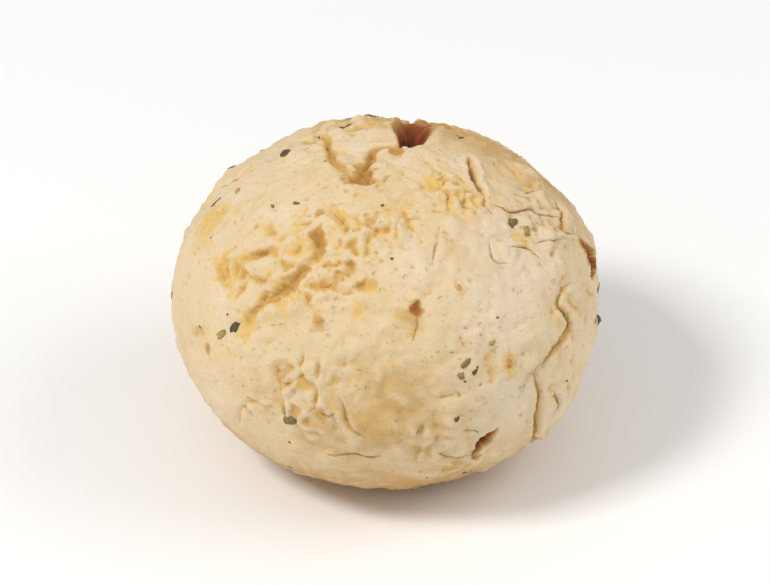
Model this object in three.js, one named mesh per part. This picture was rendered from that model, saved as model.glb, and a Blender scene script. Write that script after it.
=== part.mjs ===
// A cheese bread ball, as baked: a rounded body on a small flat foot, whose crust has split over the crown
// and torn into plates down one shoulder. It is one solid.
// Millimetres, +Z up, the front towards -Y. The origin is on the tray, under the middle of the ball's box.

import * as THREE from "three";
import { mergeVertices } from "three/addons/utils/BufferGeometryUtils.js";

// ---- Driving sizes --------------------------------------------------------------------------------------

const WIDTH = 54; // across X
const DEPTH_SHARE = 0.98; // depth across Y, as a share of the width
const CROWN_SHARE = 0.385; // crown above the widest level, as a share of the width
const BELLY_SHARE = 0.405; // where the rounded belly would close below the widest level
const FOOT_SHARE = 0.36; // where the tray flattens it, below the widest level
const FACET_ROWS = 20; // subdivisions of each icosahedron edge: 20 * (rows + 1)^2 triangles
const GATHER = 0.6; // share of the way that facets beside a split are drawn in towards it
const GATHER_REACH = 2.6; // how far out they are drawn from, in half widths of the split

const HALF_WIDTH = WIDTH / 2;
const HALF_DEPTH = HALF_WIDTH * DEPTH_SHARE;
const CROWN_RISE = WIDTH * CROWN_SHARE;
const BELLY_DROP = WIDTH * BELLY_SHARE;
const FOOT_DROP = WIDTH * FOOT_SHARE;

// Places on the ball are [bearing, rise] in degrees, seen from the middle of its widest level:
// bearing 0 faces the front and turns towards +X, and rise 90 is the crown.

// Broad swells of the dough: height in millimetres, and reach as an angle in degrees.
const SWELLS = [
  { at: [-60, 45], height: 0.7, reach: 34 },
  { at: [25, 62], height: 0.5, reach: 22 },
  { at: [75, 42], height: -0.5, reach: 20 },
  { at: [-150, 30], height: 0.6, reach: 38 },
  { at: [130, 30], height: 0.5, reach: 30 },
  { at: [50, -28], height: 0.6, reach: 16 },
  { at: [170, -12], height: 0.5, reach: 34 },
];

// Splits in the crust. Half width and depth are in millimetres at the widest point, which is where the
// share `widest` of the path falls. `lip` is how far the crust curls up along the edges.
const SPLITS = [
  {
    name: "crown split",
    path: [[149, 78], [156, 69], [162, 59], [166, 50]],
    halfWidth: 2.6, depth: 3.4, widest: 0.5, lip: 0.2,
  },
  {
    name: "back split",
    path: [[166, 47], [171, 34], [175, 20], [178, 6]],
    halfWidth: 1.4, depth: 1.5, widest: 0.35, lip: 0.3,
  },
  {
    name: "crown fork",
    path: [[156, 66], [148, 79], [-165, 83], [-110, 83], [-58, 79]],
    halfWidth: 1.2, depth: 1.3, widest: 0.8, lip: 0.2,
  },
  {
    name: "fork pit",
    path: [[-100, 82], [-55, 78], [-30, 71]],
    halfWidth: 2.1, depth: 1.7, widest: 0.5, lip: 0.1,
  },
  {
    name: "left fork",
    path: [[-58, 77], [-95, 73], [-130, 64], [-146, 46], [-152, 30]],
    halfWidth: 1.3, depth: 1.1, widest: 0.3, lip: 0.3,
  },
  {
    name: "right groove",
    path: [[106, 60], [86, 57], [71, 52], [60, 48]],
    halfWidth: 1.8, depth: 1.2, widest: 0.5, lip: 0.5,
  },
  {
    name: "flake gap",
    path: [[92, 30], [91, 20], [90, 12], [86, 6]],
    halfWidth: 1.5, depth: 1.3, widest: 0.5, lip: 0.5,
  },
  {
    name: "side fissure",
    path: [[76, 18], [63, 17], [61, 10], [51, 5], [43, 1], [48, -9], [51, -21]],
    halfWidth: 1.4, depth: 0.9, widest: 0.6, lip: 0.35,
  },
  {
    name: "long pit",
    path: [[33, -11], [29, -15], [25, -19]],
    halfWidth: 1.1, depth: 0.8, widest: 0.5, lip: 0.2,
  },
  {
    name: "back branch",
    path: [[172, 36], [-170, 24], [-158, 15], [-141, 11]],
    halfWidth: 1.5, depth: 1.3, widest: 0.4, lip: 0.3,
  },
  {
    name: "back shoulder",
    path: [[164, 52], [142, 41], [128, 27], [122, 12], [126, -2]],
    halfWidth: 1.4, depth: 1.1, widest: 0.5, lip: 0.3,
  },
];

// The torn shoulder: plates of crust with crevices between them, over an oval patch.
const TORN = {
  at: [-42, 44],
  reach: 33, // degrees from the middle to where the tearing fades out
  crevice: 1.1, // depth between plates, in millimetres
  plate: 5.2, // spacing of the crevices, in millimetres
  slant: 32, // degrees the crevices climb towards the right
};

// The foot's edge isn't a clean circle: crust crept out over the tray in uneven scallops.
const FOOT_SCALLOPS = 7;
const FOOT_SCALLOP_DEPTH = 0.35;
const FOOT_SCALLOP_REACH = 3.5; // how far above the tray they fade out, in millimetres

const CRUST = { color: 0xe1c698, roughness: 0.82, metalness: 0 };

// ---- Form -----------------------------------------------------------------------------------------------

const radians = THREE.MathUtils.degToRad;

/** Unit vector from the middle of the widest level towards [bearing, rise]. */
function directionOf([bearing, rise]) {
  const level = Math.cos(radians(rise));
  return new THREE.Vector3(
    Math.sin(radians(bearing)) * level,
    -Math.cos(radians(bearing)) * level,
    Math.sin(radians(rise)),
  );
}

/** Point of the plain rounded body in a direction, before the tray flattens it. */
function bodyPoint(direction) {
  const halfHeight = direction.z > 0 ? CROWN_RISE : BELLY_DROP;
  const scaled = new THREE.Vector3(
    direction.x / HALF_WIDTH,
    direction.y / HALF_DEPTH,
    direction.z / halfHeight,
  );
  return direction.clone().divideScalar(scaled.length());
}

/** Bell curve: 1 at zero distance, fading past the reach. */
function bell(distance, reach) {
  return Math.exp(-((distance / reach) ** 2));
}

function swellHeight(direction) {
  let height = 0;
  for (const swell of SWELLS) {
    const angle = direction.angleTo(directionOf(swell.at));
    height += swell.height * bell(angle, radians(swell.reach));
  }
  return height;
}

/** A split's path as points on the body, with each point's share of the length. */
function layOut(split) {
  const points = split.path.map((place) => bodyPoint(directionOf(place)));
  const shares = [0];
  for (let i = 1; i < points.length; i += 1) {
    shares.push(shares[i - 1] + points[i].distanceTo(points[i - 1]));
  }
  const length = shares.at(-1);
  return { ...split, points, shares: shares.map((share) => share / length) };
}

const LAID_SPLITS = SPLITS.map(layOut);

/** Nearest spot of a laid-out split to a point of the body: its distance, place and share of the length. */
function nearestOn(split, point) {
  const nearest = { distance: Infinity, spot: new THREE.Vector3(), share: 0 };
  const segment = new THREE.Line3();
  const spot = new THREE.Vector3();
  for (let i = 1; i < split.points.length; i += 1) {
    segment.set(split.points[i - 1], split.points[i]);
    const along = segment.closestPointToPointParameter(point, true);
    segment.at(along, spot);
    const distance = spot.distanceTo(point);
    if (distance < nearest.distance) {
      nearest.distance = distance;
      nearest.spot.copy(spot);
      nearest.share = THREE.MathUtils.lerp(split.shares[i - 1], split.shares[i], along);
    }
  }
  return nearest;
}

/** How open a split is at a share of its length: 0 at both ends and 1 where it is widest. */
function openness(split, share) {
  const side = share < split.widest ? share / split.widest : (1 - share) / (1 - split.widest);
  return Math.sqrt(Math.max(0, side));
}

/** Height that a split adds to the body: a V down to its floor, and a low curled lip on each side. */
function splitHeight(split, point) {
  const nearest = nearestOn(split, point);
  const open = openness(split, nearest.share);
  const halfWidth = split.halfWidth * (0.35 + 0.65 * open);
  const across = nearest.distance / halfWidth;
  const groove = -split.depth * open * Math.max(0, 1 - across);
  const lip = split.lip * open * bell(across - 1.4, 0.7);
  return groove + lip;
}

/** Height of the torn shoulder: rounded plates, with crevices that climb at a slant and cross-breaks. */
function tornHeight(direction, point) {
  const angle = direction.angleTo(directionOf(TORN.at));
  const strength = bell(angle, radians(TORN.reach));
  const slant = radians(TORN.slant);
  const climb = point.z * Math.cos(slant) - point.x * Math.sin(slant);
  const along = point.x * Math.cos(slant) + point.z * Math.sin(slant);
  const waver = 0.9 * Math.sin((along * 2.1) / TORN.plate);
  const rows = Math.abs(Math.sin((Math.PI * (climb + waver)) / TORN.plate));
  const breaks = Math.abs(Math.sin((Math.PI * (along + 1.7 * Math.sin(climb * 0.8))) / (1.6 * TORN.plate)));
  const plateness = Math.min(rows, 0.35 + breaks);
  return strength * TORN.crevice * (Math.sqrt(plateness) - 0.75);
}

/** The finished surface in a direction: the body, what the crust does to it, and the flat foot. */
function surfacePoint(direction) {
  const body = bodyPoint(direction);
  const height =
    swellHeight(direction) +
    tornHeight(direction, body) +
    LAID_SPLITS.reduce((sum, split) => sum + splitHeight(split, body), 0);
  const point = body.clone().addScaledVector(direction, height);

  const aboveTray = Math.max(0, point.z + FOOT_DROP);
  const bearing = Math.atan2(point.x, -point.y);
  const scallop = Math.sin(FOOT_SCALLOPS * bearing) + 0.6 * Math.sin(3 * bearing + 1);
  const spread = 1 + (FOOT_SCALLOP_DEPTH / HALF_WIDTH) * scallop * bell(aboveTray, FOOT_SCALLOP_REACH);
  point.x *= spread;
  point.y *= spread;
  point.z = Math.max(point.z, -FOOT_DROP);
  return point;
}

/** Draws a direction towards the splits that run close by, so that more facets fall on their sides. */
function gatheredDirection(direction) {
  const gathered = direction.clone();
  for (const split of LAID_SPLITS) {
    const body = bodyPoint(gathered);
    const nearest = nearestOn(split, body);
    const reach = GATHER_REACH * split.halfWidth;
    if (nearest.distance < reach) {
      const hold = THREE.MathUtils.smoothstep(nearest.distance, 0, reach);
      const pull = GATHER * openness(split, nearest.share) * (1 - hold);
      gathered.copy(body.lerp(nearest.spot, pull).normalize());
    }
  }
  return gathered;
}

// ---- Mesh -----------------------------------------------------------------------------------------------

/** The ball as one closed solid, standing on the tray and centred on its box. */
function ballGeometry() {
  const geometry = new THREE.IcosahedronGeometry(1, FACET_ROWS);
  geometry.deleteAttribute("normal");
  geometry.deleteAttribute("uv");
  const merged = mergeVertices(geometry, 1e-5);
  const position = merged.getAttribute("position");
  const direction = new THREE.Vector3();
  for (let i = 0; i < position.count; i += 1) {
    direction.fromBufferAttribute(position, i).normalize();
    position.setXYZ(i, ...surfacePoint(gatheredDirection(direction)).toArray());
  }
  merged.computeBoundingBox();
  const middle = merged.boundingBox.getCenter(new THREE.Vector3());
  merged.translate(-middle.x, -middle.y, FOOT_DROP);
  merged.computeVertexNormals();
  return merged;
}

function cheeseBall() {
  const ball = new THREE.Mesh(ballGeometry(), new THREE.MeshStandardMaterial(CRUST));
  ball.name = "cheese_ball";
  return ball;
}

const part = new THREE.Group();
part.add(cheeseBall());

export default part;
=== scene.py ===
"""A cheese bread ball, baked until its crust split, standing on a pale floor.

The ball is a rounded body of dough whose crust has split over the crown, torn into plates on one shoulder
and cracked finely elsewhere. Dried herb flakes, pepper specks and toasted cheese bits are pressed into it.

Shapes are worked out in millimetres from the middle of the ball's widest level, and every mesh is written
in metres in the frame's own place. A place on the ball is a bearing and a rise in degrees: bearing 0 faces
the front and turns towards +X, and rise 90 is the crown.
"""

import logging
import math
from dataclasses import dataclass, field
from enum import Enum

import bmesh
import bpy
import numpy as np
from mathutils import Matrix, Vector, noise
from mathutils.bvhtree import BVHTree


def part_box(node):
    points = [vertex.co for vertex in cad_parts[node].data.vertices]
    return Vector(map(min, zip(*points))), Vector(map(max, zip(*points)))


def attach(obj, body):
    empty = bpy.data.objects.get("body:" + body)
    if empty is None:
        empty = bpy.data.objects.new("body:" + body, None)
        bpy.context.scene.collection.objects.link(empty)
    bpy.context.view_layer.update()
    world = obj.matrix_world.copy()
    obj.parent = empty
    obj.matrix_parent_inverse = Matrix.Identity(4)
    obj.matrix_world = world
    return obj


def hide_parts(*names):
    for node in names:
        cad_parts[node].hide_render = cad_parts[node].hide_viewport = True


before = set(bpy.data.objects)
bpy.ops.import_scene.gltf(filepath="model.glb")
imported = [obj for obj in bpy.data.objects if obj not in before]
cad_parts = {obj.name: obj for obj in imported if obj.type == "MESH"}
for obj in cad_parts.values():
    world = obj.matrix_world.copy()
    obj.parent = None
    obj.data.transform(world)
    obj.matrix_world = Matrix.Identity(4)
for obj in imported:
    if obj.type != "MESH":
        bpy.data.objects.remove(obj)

LOG = logging.getLogger("cheese_ball")

NODE = "cheese_ball"
MILLIMETRE = 0.001
SEED_SHIFT = 31.7  # how far one seed moves a noise pattern, in sizes of its features
RIFT_REACH = 0.55  # how far to each side a hairline split is measured, in millimetres
GATHER_SHARE = 0.62  # share of the way that the net is drawn in towards a crack
GATHER_SPREAD = 3.0  # how far out it is drawn from, in half widths of the crack
LEAST_GATHER = 1.3  # and at least this far, in millimetres

Place = tuple[float, float]
Colour = tuple[float, float, float]
Points = np.ndarray
Values = np.ndarray
Socket = bpy.types.NodeSocket


class Tint(Enum):
    """What colours the crust, each kept on the mesh as an attribute from 0 to 1."""

    # Browning, which also stands for painted shade in cracks, pits, pores, folds and hollows.
    TOAST_AND_SHADE = "toast_and_shade"
    CHEESE = "cheese"
    TAN = "tan"
    BLUSH = "blush"


# ---- Sums on points ------------------------------------------------------------------------------


def ease(values: Values, low: float, high: float) -> Values:
    """Rises smoothly from 0 at low to 1 at high.

    Args:
        values: Numbers to ease.
        low: Where the rise starts.
        high: Where the rise ends. It may be below low, for a fall.

    Returns:
        One number from 0 to 1 for each value.
    """
    share = np.clip((values - low) / (high - low), 0.0, 1.0)
    return share * share * (3.0 - 2.0 * share)


def bell(distances: Values, reach: float) -> Values:
    """Gives 1 at zero distance, fading past the reach."""
    return np.exp(-((distances / reach) ** 2))


def direction_of(place: Place) -> Points:
    """Turns a bearing and a rise into a unit vector.

    Args:
        place: Bearing and rise, in degrees.

    Returns:
        The direction from the middle of the widest level.
    """
    bearing, rise = (math.radians(angle) for angle in place)
    level = math.cos(rise)
    return np.array([math.sin(bearing) * level, -math.cos(bearing) * level, math.sin(rise)])


def unit(vectors: Points) -> Points:
    """Scales each vector to length 1."""
    return vectors / np.linalg.norm(vectors, axis=-1, keepdims=True)


def degrees_from(directions: Points, place: Place) -> Values:
    """Gives each unit vector's angle from a place, in degrees."""
    return np.degrees(np.arccos(np.clip(directions @ direction_of(place), -1.0, 1.0)))


def ways_across(middle: Points, turn: float) -> tuple[Points, Points]:
    """Finds two ways along the crust, square to each other.

    Args:
        middle: The spot on the crust that they start from.
        turn: The angle of the first way, in degrees from eastward towards upward.

    Returns:
        The two ways, as unit vectors.
    """
    outward = unit(middle)
    eastward = unit(np.cross([0.0, 0.0, 1.0], outward))
    upward = np.cross(outward, eastward)
    angle = math.radians(turn)
    first = math.cos(angle) * eastward + math.sin(angle) * upward
    return first, np.cross(outward, first)


def soft_noise(points: Points, size: float, seed: float = 0.0) -> Values:
    """Smooth noise over space.

    Args:
        points: Where to read it, in millimetres.
        size: How large its features are, in millimetres.
        seed: Shifts the pattern, so that two readings differ.

    Returns:
        One number from about -1 to 1 for each point.
    """
    shifted = (points / size + SEED_SHIFT * seed).tolist()
    return np.array([noise.noise(point) for point in shifted])


def cell_noise(points: Points, size: float, seed: float = 0.0) -> tuple[Values, Values]:
    """Cells of uneven shape, packed side by side.

    Args:
        points: Where to read them, in millimetres.
        size: How large the cells are, in millimetres.
        seed: Shifts the pattern.

    Returns:
        For each point, how far it lies inside its cell's border, and its cell's own number, from -1 to 1.
    """
    shifted = (points / size + SEED_SHIFT * seed).tolist()
    border = np.empty(len(shifted))
    own = np.empty(len(shifted))
    for i, point in enumerate(shifted):
        distances, middles = noise.voronoi(point)
        border[i] = distances[1] - distances[0]
        own[i] = noise.noise(middles[0] * 7.3)
    return border, own


def drift(points: Points, size: float, seed: float) -> Points:
    """Gives each point a smooth push, from about -1 to 1 on each axis, to bend a pattern with."""
    return np.stack([soft_noise(points, size, seed + k) for k in range(3)], axis=1)


def billow(points: Points, size: float, seed: float = 0.0) -> Values:
    """Puffy noise: rounded lumps with creases between them, from about -0.4 in a crease to 1 on a lump."""
    return 2.6 * np.abs(soft_noise(points, size, seed)) - 0.4


# ---- Form of the crust ---------------------------------------------------------------------------


@dataclass(frozen=True)
class Dough:
    """The plain rounded body before its crust splits, in millimetres from its widest level's middle."""

    half_width: float
    half_depth: float
    crown_rise: float
    belly_drop: float
    foot_drop: float

    @classmethod
    def in_box(cls, low: Points, high: Points) -> "Dough":
        """Works the body out from the frame's box.

        Args:
            low: The box's lowest corner, in millimetres.
            high: The box's highest corner.

        Returns:
            The body that fills the box.
        """
        width, depth, height = high - low
        return cls(
            half_width=0.499 * width,
            half_depth=0.494 * depth,
            crown_rise=0.511 * height,
            belly_drop=0.538 * height,
            foot_drop=0.478 * height,
        )

    def reach_along(self, directions: Points) -> Points:
        """Finds the body's surface.

        Args:
            directions: Unit vectors from the middle.

        Returns:
            The point of the surface in each direction, not yet flattened by the tray.
        """
        half_height = np.where(directions[..., 2] > 0.0, self.crown_rise, self.belly_drop)
        scaled = np.stack(
            [
                directions[..., 0] / self.half_width,
                directions[..., 1] / self.half_depth,
                directions[..., 2] / half_height,
            ],
            axis=-1,
        )
        return directions / np.linalg.norm(scaled, axis=-1, keepdims=True)

    def at(self, place: Place) -> Points:
        """Gives the body's surface point at a place."""
        return self.reach_along(direction_of(place))


class Relief:
    """What baking does to the dough: a height and a set of tints for every point of the crust."""

    def __init__(self, dough: Dough, directions: Points) -> None:
        """Starts from the plain body.

        Args:
            dough: The plain body.
            directions: A unit vector for each point of the crust.
        """
        self.dough = dough
        self.directions = directions
        self.points = dough.reach_along(directions)
        self.height = np.zeros(len(directions))
        self.tints = {tint: np.zeros(len(directions)) for tint in Tint}
        self.rift = np.full(len(directions), RIFT_REACH)
        self.rift_width = np.zeros(len(directions))

    def near(self, middle: Points, reach: float) -> Values:
        """Lists the points within reach of a middle, as indices."""
        return np.nonzero(np.linalg.norm(self.points - middle, axis=1) < reach)[0]

    def stain(self, tint: Tint, amount: Values, where: Values | slice = slice(None)) -> None:
        """Deepens a tint.

        Args:
            tint: Which tint.
            amount: How strong it becomes, for each point of where.
            where: The points to stain, or all of them.
        """
        self.tints[tint][where] = np.maximum(self.tints[tint][where], np.clip(amount, 0.0, 1.0))

    def tear(self, side: Values, width: Values, where: Values) -> None:
        """Notes a hairline split, too fine for the mesh, which the finish draws as a painted shadow line and
        a groove.

        Args:
            side: Signed distance from the split, in millimetres, for each point of where.
            width: Half the split's width there, in millimetres.
            where: The points near the split.
        """
        closer = np.abs(side) < np.abs(self.rift[where])
        self.rift[where[closer]] = side[closer]
        self.rift_width[where[closer]] = width[closer]

    def stain_and_shade_hollows(self, edges: Values, rounds: int = 14) -> None:
        """Colours the hollows, where the moist dough stayed yellow, darkens them with painted shade, and
        pales the ridges as a painted highlight.

        Args:
            edges: The mesh's edges, as pairs of point indices.
            rounds: How far around each point its neighbourhood reaches, in edges.
        """
        first, second = edges.T
        count = len(self.height)
        links = np.bincount(first, minlength=count) + np.bincount(second, minlength=count)
        around = self.height
        for _ in range(rounds):
            total = np.bincount(first, around[second], count) + np.bincount(second, around[first], count)
            around = total / links
        hollow = around - self.height
        deep = ease(hollow, 0.03, 0.3)
        ridge_highlight = ease(-hollow, 0.02, 0.22)
        self.stain(Tint.CHEESE, self.tints[Tint.CHEESE] + 0.6 * deep)
        # The toast stain in the hollows is painted shade.
        self.stain(Tint.TOAST_AND_SHADE, 0.26 * deep)
        # Paling the ridges is a painted highlight.
        for tint in (Tint.CHEESE, Tint.TAN):
            self.tints[tint] *= 1.0 - 0.55 * ridge_highlight

    def shaped(self) -> Points:
        """Gives the finished surface, with the foot flattened by the tray."""
        points = self.points + self.directions * self.height[:, None]
        points[:, 2] = np.maximum(points[:, 2], -self.dough.foot_drop)
        return points


@dataclass(frozen=True)
class Swell:
    """A broad rise or hollow of the dough.

    Its height is in millimetres and its reach is an angle in degrees.
    """

    at: Place
    height: float
    reach: float

    def press(self, relief: Relief) -> None:
        """Adds the swell to the relief."""
        relief.height += self.height * bell(degrees_from(relief.directions, self.at), self.reach)


@dataclass(frozen=True)
class Crack:
    """A split in the crust along a path of places.

    Lengths are millimetres where the crack is widest, which is at the share `widest` of its path. The crust
    left of the path stands `step` higher than the crust right of it, out to about `step_reach`. `ragged` is
    how far the edges wander, in half widths, and `floor` is how far out the flat floor goes. `beads` is the
    height of the lumps of dough that swelled up beside it, `hairline` is half the width of the fine split
    along its middle, and `meander` is how far it strays from its path.
    """

    path: tuple[Place, ...]
    half_width: float
    depth: float
    lip: float = 0.12
    step: float = 0.0
    step_reach: float = 2.2
    ragged: float = 0.45
    widest: float = 0.5
    toast_and_shade: float = 0.35
    cheese: float = 0.0
    floor: float = 0.1
    beads: float = 0.0
    hairline: float = 0.06
    meander: float = 0.5
    steps_per_stretch: int = 6

    def laid_out(self, dough: Dough) -> Points:
        """Runs a smooth curve through the path's places.

        Args:
            dough: The body that the crack lies on.

        Returns:
            The curve's points on the body.
        """
        knots = np.array([dough.at(place) for place in self.path])
        knots = np.vstack([2 * knots[0] - knots[1], knots, 2 * knots[-1] - knots[-2]])
        curve = []
        for before, start, end, after in zip(knots, knots[1:], knots[2:], knots[3:]):
            for share in np.arange(self.steps_per_stretch) / self.steps_per_stretch:
                bend = (2 * before - 5 * start + 4 * end - after) * share
                twist = (3 * (start - end) + after - before) * share * share
                curve.append(start + 0.5 * share * (end - before + bend + twist))
        curve = np.array([*curve, knots[-2]])
        held = np.sin(np.linspace(0.0, math.pi, len(curve)))
        return dough.reach_along(unit(curve + self.meander * held[:, None] * drift(curve, 3.6, 51.0)))

    def gather(self, dough: Dough, directions: Points) -> None:
        """Draws directions towards the crack, so that more of the mesh falls on its walls.

        Args:
            dough: The body that the crack lies on.
            directions: Unit vectors, which are moved in place.
        """
        curve = self.laid_out(dough)
        reach = max(GATHER_SPREAD * self.half_width, LEAST_GATHER)
        points = dough.reach_along(directions)
        near = self._close_to(points, curve, reach)
        spots, distance, share, _ = self._measure(points[near], curve)
        inside = distance < reach
        hold = ease(distance[inside], 0.0, reach)
        pull = GATHER_SHARE * self._open(share[inside]) * (1.0 - hold)
        moved = points[near][inside] + (spots[inside] - points[near][inside]) * pull[:, None]
        directions[near[inside]] = unit(moved)

    def press(self, relief: Relief) -> None:
        """Cuts the crack into the relief and darkens its floor, with browning and painted shade."""
        curve = self.laid_out(relief.dough)
        margin = 3.0 * self.half_width + 2.0 * self.step_reach
        near = self._close_to(relief.points, curve, margin)
        points = relief.points[near]
        _, distance, share, side = self._measure(points, curve)
        wander = soft_noise(points, 1.1 + self.half_width, 3.0) + 0.6 * soft_noise(points, 0.5, 5.0)
        opened = self._open(share)
        half_width = self.half_width * (0.3 + 0.7 * opened) * (1.0 + self.ragged * wander)
        across = distance / np.maximum(half_width, 0.08)
        floor = 1.0 - ease(across, self.floor, 1.0)
        torn = 1.0 + 0.35 * soft_noise(points, 0.8, 7.0)
        rim = bell(across - 1.35, 0.55)
        height = -self.depth * opened * floor * torn + self.lip * opened * rim
        if self.step:
            lifted = np.tanh(side / (0.35 * self.half_width)) * bell(distance, self.step_reach)
            height += 0.5 * self.step * opened * lifted
        if self.beads:
            lumps = np.clip(billow(points, 1.7, 15.0), 0.0, 1.2)
            height += self.beads * opened * bell(across - 1.7, 0.9) * lumps
        relief.height[near] += height
        broken = np.clip(0.75 + 1.3 * soft_noise(points, 2.2, 17.0), 0.0, 1.2)
        relief.tear(side, self.hairline * opened * broken, near)
        # The crack's floor is darkened with browning and painted shade, most towards its middle.
        relief.stain(Tint.TOAST_AND_SHADE, self.toast_and_shade * np.sqrt(opened) * ease(across, 1.15, self.floor), near)
        relief.stain(Tint.CHEESE, self.cheese * opened * ease(across, 2.6, 0.6), near)

    def _close_to(self, points: Points, curve: Points, margin: float) -> Values:
        """Lists the points within a margin of the curve's surrounding sphere, as indices."""
        middle = curve.mean(axis=0)
        reach = np.linalg.norm(curve - middle, axis=1).max() + margin
        return np.nonzero(np.linalg.norm(points - middle, axis=1) < reach)[0]

    def _measure(self, points: Points, curve: Points) -> tuple[Points, Values, Values, Values]:
        """Measures points against the curve.

        Args:
            points: Points of the body.
            curve: The crack's curve.

        Returns:
            For each point, its nearest spot on the curve, its distance, the spot's share of the curve's
            length, and the distance again with a minus sign on the right of the path.
        """
        spots = np.zeros_like(points)
        distance = np.full(len(points), np.inf)
        share = np.zeros(len(points))
        side = np.zeros(len(points))
        lengths = np.linalg.norm(np.diff(curve, axis=0), axis=1)
        reached = np.concatenate([[0.0], np.cumsum(lengths)]) / lengths.sum()
        for i, (start, end) in enumerate(zip(curve, curve[1:])):
            stretch = end - start
            along = np.clip((points - start) @ stretch / (stretch @ stretch), 0.0, 1.0)
            spot = start + along[:, None] * stretch
            offset = points - spot
            gap = np.linalg.norm(offset, axis=1)
            closer = gap < distance
            leftwards = np.cross(unit(start), stretch)
            spots[closer] = spot[closer]
            distance[closer] = gap[closer]
            share[closer] = reached[i] + along[closer] * (reached[i + 1] - reached[i])
            side[closer] = (np.sign(offset @ leftwards) * gap)[closer]
        return spots, distance, share, side

    def _open(self, share: Values) -> Values:
        """Says how open the crack is: 0 at its ends, and 1 where it is widest."""
        side = np.where(share < self.widest, share / self.widest, (1.0 - share) / (1.0 - self.widest))
        return np.sqrt(np.clip(side, 0.0, 1.0))


@dataclass(frozen=True)
class Pit:
    """A rounded pit or stain, in millimetres, whose long way is turned by `turn` degrees."""

    at: Place
    radius: float
    depth: float = 0.0
    stretch: float = 1.0
    turn: float = 0.0
    ragged: float = 0.35
    rim: float = 0.0
    toast_and_shade: float = 0.0
    cheese: float = 0.0

    def press(self, relief: Relief) -> None:
        """Sinks the pit into the relief and stains it, partly with painted shade."""
        middle = relief.dough.at(self.at)
        near = relief.near(middle, 3.2 * self.radius * self.stretch)
        points = relief.points[near]
        long_way, short_way = ways_across(middle, self.turn)
        offset = points - middle
        distance = np.hypot(offset @ long_way / self.stretch, offset @ short_way) / self.radius
        wander = soft_noise(points, 0.9 * self.radius + 0.3, 11.0) + 0.6 * soft_noise(points, 0.6, 13.0)
        distance *= 1.0 + 1.6 * self.ragged * wander
        fill = ease(distance, 1.25, 0.1)
        relief.height[near] += -self.depth * fill + self.rim * bell(distance - 1.35, 0.4)
        # The toast stain is browning, and painted shade where the pit is sunk.
        relief.stain(Tint.TOAST_AND_SHADE, self.toast_and_shade * ease(distance, 1.7, 0.5), near)
        relief.stain(Tint.CHEESE, self.cheese * ease(distance, 1.7, 0.5), near)


@dataclass(frozen=True)
class Bloom:
    """A broad patch where baking turned the crust another colour, with a soft uneven edge.

    Its reach is in degrees, `amount` is the tint's depth in the middle, and `patch` is the size of its
    blotches, in millimetres.
    """

    at: Place
    reach: float
    tint: Tint
    amount: float
    patch: float = 4.0

    def press(self, relief: Relief) -> None:
        """Stains the relief."""
        fade = bell(degrees_from(relief.directions, self.at), self.reach)
        near = np.nonzero(fade > 0.02)[0]
        points = relief.points[near]
        blotches = soft_noise(points, self.patch, 41.0) + 0.6 * soft_noise(points, 0.4 * self.patch, 42.0)
        relief.stain(self.tint, self.amount * fade[near] * np.clip(0.85 + 0.6 * blotches, 0.0, 1.3), near)


@dataclass(frozen=True)
class TornPatch:
    """A patch where the crust tore into plates as the dough rose, and the cheesy inside shows between them.

    Its reach is in degrees. The plates are `plate` millimetres across, longer along the slant, and each one
    lies up to `lift` higher or lower than its neighbours. `crevice` is how deep the gaps between them are.
    """

    at: Place
    reach: float
    plate: float
    crevice: float
    slant: float
    cheese: float
    toast_and_shade: float = 0.32
    lift: float = 0.22
    stretch: float = 1.7
    seed: float = 0.0

    def press(self, relief: Relief) -> None:
        """Breaks the relief into plates over the patch."""
        middle = relief.dough.at(self.at)
        extent = math.radians(self.reach) * np.linalg.norm(middle)
        near = relief.near(middle, 1.6 * self.stretch * extent)
        points = relief.points[near]
        along, _ = ways_across(middle, self.slant)
        offset = points - middle
        run = offset @ along
        squeezed = points - along * (run * (1.0 - 1.0 / self.stretch))[:, None]
        warp = 1.5 * drift(points, 2.6, self.seed + 1.0)
        fine_warp = 0.28 * drift(points, 0.9, self.seed + 4.0)
        border, own = cell_noise(squeezed + warp + fine_warp, self.plate, self.seed)
        spread = np.hypot(run / self.stretch, np.linalg.norm(offset - run[:, None] * along, axis=1))
        worn = 1.0 + 0.5 * soft_noise(points, 6.0, self.seed + 9.0)
        worn += 0.25 * soft_noise(points, 2.5, self.seed + 11.0)
        strength = ease(spread * worn, 1.1 * extent, 0.3 * extent)
        depth_share = np.clip(0.45 + 1.1 * soft_noise(points, 3.4, self.seed + 8.0), 0.0, 1.0)
        gap = ease(border, 0.34, 0.0) * depth_share
        plates = 0.5 * np.sqrt(ease(border, 0.0, 0.8)) - gap
        uneven = self.lift * own * ease(border, 0.02, 0.3)
        lumps = 0.3 * billow(points, 2.2, self.seed + 10.0) + 0.04 * billow(points, 0.9, self.seed + 12.0)
        relief.height[near] += strength * (self.crevice * plates + uneven + lumps)
        moist = np.clip(0.35 + 1.1 * soft_noise(points, 3.0, self.seed + 13.0), 0.0, 1.0)
        close = ease(border, 0.6, 0.05) * depth_share
        relief.stain(Tint.CHEESE, self.cheese * strength * (0.2 + 0.45 * moist + 0.6 * close), near)
        # Painted shade in the gaps between the plates.
        relief.stain(Tint.TOAST_AND_SHADE, self.toast_and_shade * strength * gap, near)


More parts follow.
